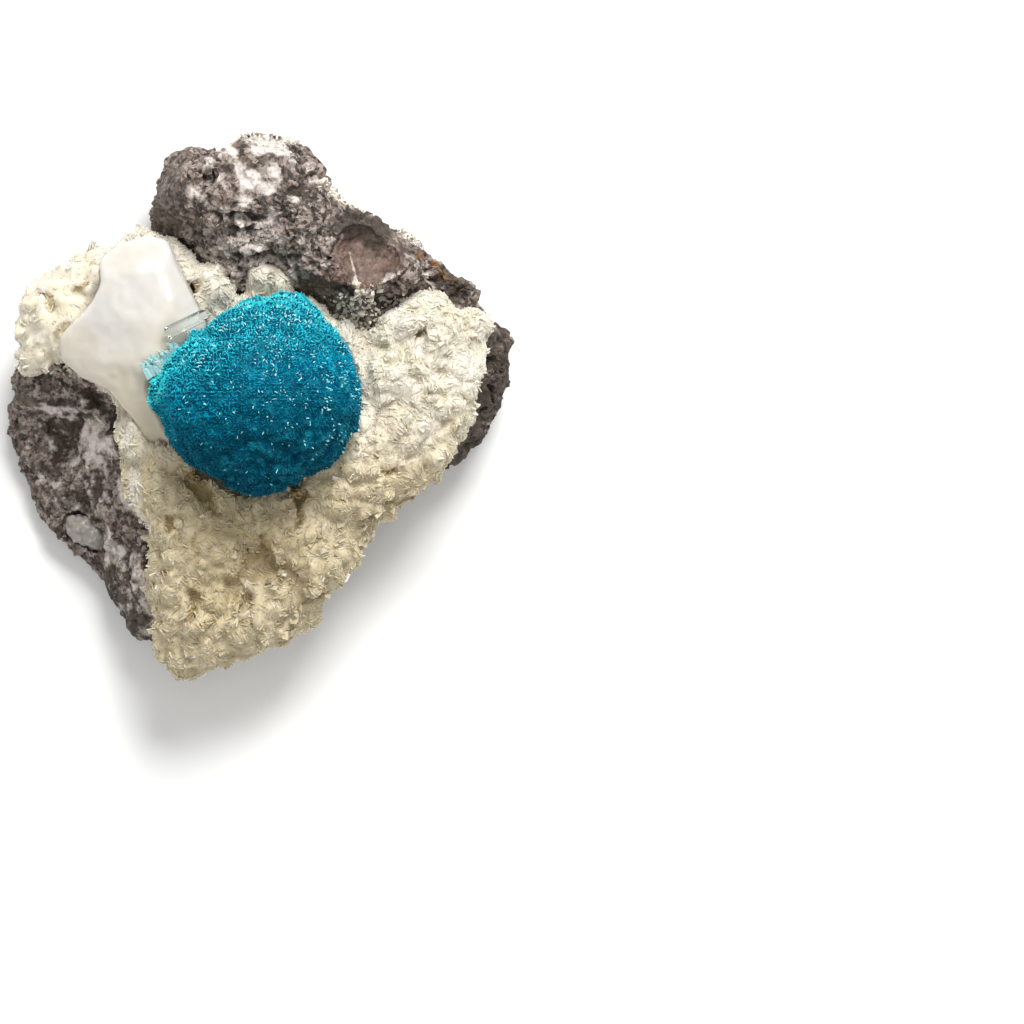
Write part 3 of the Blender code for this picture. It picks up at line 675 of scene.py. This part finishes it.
def basalt_finish():
    """Weathered basalt: matt, dark brown-grey, with a pale film, rust and mauve clay in places, and painted shade in
    its low places, hollows and turned-away facets.
    """
    marks = ("film", "rust", "mauve", "high", "dark")
    material, tree, shader, place, film, rust, mauve, high, dark = finish_of("basalt, weathered", *marks)
    fine, broad, coarse, grit = (
        add(tree, "ShaderNodeTexNoise", {"Vector": place, "Scale": 1 / (size * MM), **grain}, "Fac")
        for size, grain in (
            (0.45, {"Detail": 6.0, "Roughness": 0.65}),
            (2.2, CLOUDY),
            (0.9, {"Detail": 6.0, "Roughness": 0.7}),
            (0.2, {"Detail": 3.0, "Roughness": 0.55}),
        )
    )
    speck = basalt_specks(tree, place)
    coated = add(tree, "ShaderNodeMapRange", {0: coarse, 1: 0.28, 2: 0.72})
    coated = add(tree, "ShaderNodeMath", {0: film, 1: coated}, operation="ADD")
    rusted = add(tree, "ShaderNodeMath", {0: rust, 1: coarse}, operation="ADD")
    layers = [
        (fine, 0.38, 0.62, 1.0, "#7f7066"),
        (broad, 0.45, 0.65, 0.4, "#8a746a"),
        (speck, 0.65, 0.85, 1.0, "#9c8f85"),
        (speck, 0.3, 0.1, 1.0, "#332a25"),
        # Painted shade in the low places of the relief.
        (high, 0.3, 0.0, 1.0, "#2b231f"),
        (mauve, 0.0, 1.0, 1.0, layered(tree, "#46342a", [(fine, 0.35, 0.65, 1.0, "#866f63")])),
        # Darker: partly the rock's own colour on its flanks, partly painted shade in hollows, the top of the large
        # bowl, the cave and on facets turned from the key light.
        (dark, 0.0, 1.0, 1.0, layered(tree, "#261f18", [(fine, 0.35, 0.65, 1.0, "#483b2e")])),
        (coated, 0.8, 1.15, 1.0, layered(tree, "#7d7169", [(fine, 0.0, 1.0, 1.0, "#b9ada4")])),
        (coated, 1.1, 1.5, 1.0, "#d3cbc4"),
        (rusted, 0.95, 1.35, 1.0, layered(tree, "#54391d", [(fine, 0.0, 1.0, 1.0, "#9c6c30")])),
    ]
    tree.links.new(layered(tree, "#3c322c", layers), shader.inputs["Base Color"])
    shader.inputs["Roughness"].default_value = 0.7
    # The finest pits are smaller than a pixel of 0.08 mm, so they are drawn 0.2 mm wide to show.
    pits = add(tree, "ShaderNodeBump", {"Height": grit, "Distance": 0.07 * MM, "Strength": 0.7}, "Normal")
    tree.links.new(pits, shader.inputs["Normal"])
    return material


basalt = basalt_finish()
print(basalt.name, len(basalt.node_tree.nodes), "nodes")

# %% Where the rock changes
SMOOTH_ROCK = [
    (-7.3, 17.1, 1.5, 3.6, -10), (5.2, 9.4, 1.9, 1.5, -35), (9.4, 12.8, 2.9, 2.7, 0), (17.6, -1.5, 0.8, 3.6, -25),
]
# Painted shade on the two smooth facets turned away from the key light.
SHADED_FACETS = SMOOTH_ROCK[:2]
# Darker rock: partly its own colour on the flanks, partly painted shade in the top of the large bowl, in a hollow and
# in the cave.
DARK_ROCK = [
    (-11.0, -16.0, 2.0, 5.0, 20), (-15.5, -2.5, 3.0, 3.5, 0), (-12.8, -0.1, 1.6, 2.6, 0), (19.0, 0.5, 3.0, 7.0, -15),
    (9.4, 15.0, 3.2, 1.9, 0), (15.5, 9.8, 1.8, 2.2, -35), (3.8, 17.6, 1.3, 0.9, 20),
]
GRANULAR = [(0.8, 12.2, 7.0, 3.0, 8)]
COATED = [
    (-0.4, 18.6, 4.6, 3.0, 15), (2.3, 22.1, 2.2, 1.0, 0), (1.1, 16.3, 0.9, 1.4, -15), (-2.1, 20.9, 1.2, 1.1, 0),
]
# Pale mineral spots and streaks; the thin streak along the lower rim of the large bowl is a painted highlight.
PALE_SPOTS = [
    (5.0, 18.7, 0.6, 0.6, 0), (-3.5, 14.5, 0.8, 0.4, 0), (11.1, 10.6, 0.9, 0.6, 20), (8.3, 11.0, 0.16, 1.5, 12),
    (9.5, 9.5, 1.8, 0.3, 8), (7.8, 17.1, 2.8, 0.5, -22), (12.8, 14.2, 2.8, 0.4, -38), (-16.8, -0.1, 2.8, 0.4, -6),
    (-13.7, -3.0, 1.4, 2.1, 10), (-15.8, 3.4, 0.3, 0.3, 0), (18.6, 3.4, 0.5, 0.9, 0), (17.3, 1.6, 0.4, 0.8, -10),
    (-10.5, -7.0, 0.9, 2.5, 20), (-12.2, -12.0, 0.8, 1.8, 20), (-9.4, -15.5, 0.7, 2.5, 20),
    (13.8, 11.6, 1.6, 0.2, -60), (14.6, 10.2, 1.2, 0.2, -50),
]
RUSTY = [(15.9, 11.4, 1.5, 0.8, -35), (13.6, 12.6, 0.5, 0.3, -30)]
MAUVE = [(9.5, 12.2, 2.9, 2.9, 0), (6.2, 10.7, 1.5, 1.1, 0)]
DENTS = [
    (-3.7, 19.1, 0.4, 0.6, 30), (-1.7, 15.6, 2.1, 0.4, -5), (6.6, 12.9, 0.2, 1.1, -30), (-12.8, -0.1, 1.3, 2.2, 0),
]
LEDGES = [(-16.8, 0.1, 2.8, 0.4, -6), (-14.0, -6.4, 2.2, 0.35, 10), (-11.5, -10.5, 1.6, 0.3, 40)]
FLANK = [(-14.5, -4.0, 5.0, 9.0, 15), (-11.0, -15.5, 2.6, 5.5, 20)]
print("dark patches", len(DARK_ROCK), "pale spots", len(PALE_SPOTS), "dents", len(DENTS), "ledges", len(LEDGES))


# %% Relief of the rock
def chipped(point, size, layer=0):
    """Flat chips size mm across, each tilted and set its own way, from about -0.6 to 0.6."""
    crooked = Vector([ripple(point, 0.6, layer + i) for i in (31, 32, 33)])
    spot = (point + 0.3 * crooked) / size + Vector((layer * 6.1, layer * 3.7, layer * 8.3))
    middle = noise.voronoi(spot)[1][0]
    own = noise.cell_vector(middle * 9.7) - Vector((0.5, 0.5, 0.5))
    return 1.2 * own.dot(spot - middle) + 0.5 * own.z


def rock_relief(point, smooth):
    """How far the broken face stands out at a place, in mm."""
    coat = within(point, COATED)
    rough = max(0.15, 1 - 0.75 * smooth - 0.45 * coat - 0.4 * within(point, FLANK))
    height = 0.65 * broken(point, 2.6, 1) + 0.6 * chipped(point, 1.7, 1) + 0.35 * chipped(point, 0.8, 2)
    height = rough * (height + 0.3 * broken(point, 1.0, 2) + 0.12 * broken(point, 0.45, 3))
    step = (point.y - 0.12 * point.x + 1.3 * ripple(point, 2.4, 5)) / 0.6
    ledge = (1 - step % 1) * rise(ripple(point, 1.0, 8), -0.35, 0.35)
    waves = ripple(point + Vector((0, 0.6 * ripple(point, 2, 4), 0)), 0.9, 6)
    height += within(point, GRANULAR) * (0.3 * ledge - 0.1) + coat * 0.25 * waves
    return height - 0.6 * within(point, DENTS, 0.35) + 0.35 * within(point, LEDGES, 0.4)


print("relief at one place on top", round(rock_relief(Vector((5, 17, 15)), 0.0), 2), "mm")

# %% Cutting the rock finer
CUT_FROM = 1.45
HIDDEN_EDGE = 0.9
WALL_EDGE = 0.3
TOP_EDGE = 0.15


def cut_finer(bm, edge_at):
    """Halve every edge that is longer than its place asks for, until none is."""
    for step in range(6):
        long = [edge for edge in bm.edges if edge.calc_length() > CUT_FROM * MM * edge_at(edge)]
        if not long:
            break
        bmesh.ops.subdivide_edges(bm, edges=long, cuts=1)
        bmesh.ops.triangulate(bm, faces=[face for face in bm.faces if len(face.verts) > 3])


def fine_rock():
    """The rock, cut fine where it is bare and seen, and finest where it faces up."""
    rock = copy_of("basalt_matrix")
    rock.normal_update()
    crust = BVHTree.FromBMesh(copy_of("heulandite_druse"))

    def edge_at(edge):
        middle = (edge.verts[0].co + edge.verts[1].co) / 2
        facing = (edge.verts[0].normal.z + edge.verts[1].normal.z) / 2
        if middle.z < 0.6 * MM or crust.ray_cast(middle, Vector((0, 0, 1)))[0]:
            return HIDDEN_EDGE
        return TOP_EDGE if facing > 0.25 else WALL_EDGE

    cut_finer(rock, edge_at)
    rock.normal_update()
    return rock


rock = fine_rock()
print("rock", len(rock.verts), "points")

# %% Roughening the rock
def mark_rock(vert, layers, height, upward, smooth):
    """Write what the finish reads at one point of the rock."""
    point = vert.co / MM
    coat = within(point, COATED, 0.6) * upward
    spots = within(point, PALE_SPOTS, 0.5) * upward
    flank = within(point, FLANK)
    film = 0.08 + 0.3 * ripple(point, 1.7, 7) + 0.85 * coat * rise(ripple(point, 1.3, 9), -0.4, 0.3) + 0.6 * spots
    # In the granular rows the film is paler on the raised ledges: film there, and painted light on the ledge tops.
    film += within(point, GRANULAR) * (0.45 * rise(height, -0.3, 0.15) + 0.05)
    film += flank * (0.2 + 0.5 * ripple(point, 0.9, 14))
    # The flank's own darker mottling, and painted shade in DARK_ROCK's hollows and on SHADED_FACETS.
    shaded = flank * (0.1 + 0.8 * rise(ripple(point, 1.4, 17), -0.05, 0.3))
    shaded = max(0.9 * within(point, DARK_ROCK, 0.4), 0.45 * within(point, SHADED_FACETS, 0.4), shaded)
    # The height of the relief, read by the finish to paint shade into the low places.
    vert[layers["high"]] = rise(height, -0.35, 0.35)
    vert[layers["film"]] = max(0.0, min(1.0, film * (1 - 0.7 * smooth * (1 - spots))))
    vert[layers["dark"]] = shaded * (1 - spots)
    vert[layers["rust"]] = 0.8 * within(point, RUSTY, 0.5) * upward
    vert[layers["mauve"]] = within(point, MAUVE) * upward


def roughen(rock):
    """Push the rock's points in and out, and leave only the smooth places smoothly shaded."""
    layers = {mark: rock.verts.layers.float.new(mark) for mark in ("film", "rust", "mauve", "high", "dark")}
    moves = []
    for vert in rock.verts:
        point = vert.co / MM
        upward = rise(vert.normal.z, -0.1, 0.5)
        smooth = within(point, SMOOTH_ROCK) * upward
        above = rise(point.z, 0.1, 0.8)
        height = rock_relief(point, smooth) * above
        moves.append((vert, vert.normal * min(0.3, height - 0.12) * MM * above))
        mark_rock(vert, layers, height, upward, smooth)
    for vert, move in moves:
        vert.co += move
    for face in rock.faces:
        face.smooth = face.normal.z > 0.2 and within(face.calc_center_median() / MM, SMOOTH_ROCK) > 0.4


roughen(rock)
print("the rock reaches", round(max(vert.co.z for vert in rock.verts) / MM, 2), "mm up")

# %% White grains on the rock
GRAIN_SPACING = 0.3
FROSTED = [
    (8.5, 7.2, 3.0, 2.6, 0), (12.6, 8.3, 1.4, 1.0, -20), (7.8, 17.3, 3.0, 0.7, -22), (12.8, 14.6, 3.0, 0.7, -38),
    (1.5, 22.2, 2.6, 0.8, 0), (-9.4, -6.0, 0.9, 5.0, 12), (-7.8, -13.5, 0.7, 4.0, 15), (-15.5, 3.2, 2.0, 0.6, 0),
]


def zeolite_grains(rock):
    """Tiny blocky crystals strewn on the bare rock beside the crust."""
    rng = random.Random(21)
    stands = []

    def frosted(centre, normal):
        return normal.z > 0.3 and within(centre, FROSTED) > 0

    for point, out in places_on(rock, GRAIN_SPACING, frosted, seed=23):
        if within(point / MM, FROSTED, 0.5) < rng.random() + 0.15:
            continue
        axis = (out + about(rng, 0.6)).normalized()
        size = rng.choice((0.2, 0.25, 0.3, 0.45))
        stand = standing(point, axis, about(rng, 1), size, 0.7 * size, 1.3 * size, 0.4 * size)
        stands.append((stand, (0.6 + 0.4 * rng.random(), 0.1, 0.0)))
    marks = ("shade", "tan", "crease")
    plant("zeolite_grains", blade_form(0.6, 0.2), stands, marks, zeolite, slot="zeolite_crust")


zeolite_grains(rock)
piece("basalt_rock", rock, basalt, node="basalt_matrix", slot="basalt")

# %% [markdown]
# ## The milky crystal and the small ones
#
# The large crystal is clouded by countless tiny flaws, so light goes far into it and comes back soft. A
# true volume of haze would need many light bounces, and light that scatters below the surface gives
# nearly the same look. The nodule is the same kind of mineral, greyer, filling an old bubble.

# %% Milky finish
def milky_finish(name, pale, dull, south):
    """A thick zeolite crystal clouded by tiny flaws: waxy, light passes far into it, duller in the south."""
    material, tree, shader, place = finish_of(name)
    haze = {**CLOUDY, "Vector": place, "Scale": 1 / (3.5 * MM)}
    haze = add(tree, "ShaderNodeTexNoise", haze, "Fac")
    north = add(tree, "ShaderNodeSeparateXYZ", {"Vector": place}, "Y")
    layers = [(haze, 0.4, 0.7, 1.0, dull), (north, 7 * MM, -3 * MM, 1.0, south)]
    tree.links.new(layered(tree, pale, layers), shader.inputs["Base Color"])
    shader.inputs["Roughness"].default_value = 0.3
    shader.inputs["IOR"].default_value = 1.5
    shader.inputs["Subsurface Weight"].default_value = 0.8
    shader.inputs["Subsurface Scale"].default_value = 1.6 * MM
    shader.inputs["Subsurface Radius"].default_value = (1.0, 0.95, 0.9)
    return material


# %% Milky crystal and nodule
def make_milky():
    """The crystal, with soft swells on its faces."""
    block = evened(copy_of("milky_crystal"), size=0.2, rounds=14)
    for vert in block.verts:
        point = vert.co / MM
        vert.co += vert.normal * (0.2 * ripple(point, 2.6, 1) + 0.06 * ripple(point, 0.8, 2) + 0.1) * MM
    finish = milky_finish("milky zeolite crystal", "#d0cdc8", "#c8c2b6", "#cbbfa6")
    piece("milky_block", block, finish, node="milky_crystal", slot="milky_crystal", smooth=True)


def make_nodule():
    """The filled bubble, a bunch of dull grey lumps."""
    lump = evened(copy_of("amygdule"), size=0.12, rounds=3)
    for vert in lump.verts:
        point = vert.co / MM
        vert.co += vert.normal * (0.45 * dome(point, 1.1, 5) + 0.15 * ripple(point, 0.4, 2) - 0.22) * MM
    finish = milky_finish("zeolite nodule, dull grey", "#a8a49c", "#77716a", "#8f8a82")
    piece("nodule", lump, finish, node="amygdule", slot="amygdule", smooth=True)


make_milky()
make_nodule()

# %% [markdown]
# ## The clear prism and the pale tuft
#
# The prism is clear glassy zeolite, faintly grey-green. A tinted glass surface would be as dark where it
# is thin as where it is thick, so the surface is clear and the inside takes up a little of the light.
# The tuft is cavansite too, but in blades so thin that they are pale turquoise and let light through.

# %% Clear prism
def clear_finish():
    """Clear zeolite: plain transmission, with a faint grey-green in its depth."""
    material, tree, shader, _ = finish_of("clear zeolite")
    shader.inputs["Base Color"].default_value = colour("#eef2ee")
    shader.inputs["Roughness"].default_value = 0.08
    shader.inputs["IOR"].default_value = 1.5
    shader.inputs["Transmission Weight"].default_value = 0.95
    depth = add(tree, "ShaderNodeVolumeAbsorption", {"Color": colour("#c9dcd4"), "Density": 180.0}, "Volume")
    tree.links.new(depth, tree.nodes["Material Output"].inputs["Volume"])
    return material


clear_zeolite = clear_finish()
prism = copy_of("clear_prism")
bmesh.ops.bevel(prism, geom=prism.edges, offset=0.05 * MM, segments=1, affect="EDGES")
piece("prism", prism, clear_zeolite, node="clear_prism", slot="clear_crystal")

# %% Pale tuft
def tuft_finish():
    """Thin cavansite blades: pale turquoise, translucent."""
    material, tree, shader, _, shade = finish_of("cavansite, thin pale blades", "shade")
    body = layered(tree, "#8fcfd0", [(shade, 0.0, 1.0, 1.0, "#d5eeea")])
    tree.links.new(body, shader.inputs["Base Color"])
    shader.inputs["Roughness"].default_value = 0.2
    shader.inputs["IOR"].default_value = 1.54
    shader.inputs["Transmission Weight"].default_value = 0.25
    shader.inputs["Subsurface Weight"].default_value = 0.4
    shader.inputs["Subsurface Scale"].default_value = 0.4 * MM
    return material


# %% Tuft blades
TUFT_ROW = (Vector((-9.0, 2.9, 15.3)), Vector((-6.2, 4.7, 15.6)))
TUFT_BLADES = 70
rng = random.Random(31)
stands = []
for number in range(TUFT_BLADES):
    root = TUFT_ROW[0].lerp(TUFT_ROW[1], rng.random()) + Vector((0.35, -0.6, 0.45)) * rng.random()
    axis = (Vector((-0.35, 0.75, 0.3)) + about(rng, 0.08)).normalized()
    across = axis.cross(Vector((0, 0, 1))) + about(rng, 0.25)
    stand = standing(root * MM, axis, across, rng.uniform(0.2, 0.42), 0.18, rng.uniform(0.8, 1.25), 0.25)
    stands.append((stand, (rng.random(),)))
plant("tuft", blade_form(0.85, 0.12), stands, ("shade",), tuft_finish(), node="pale_tuft", slot="pale_cavansite")
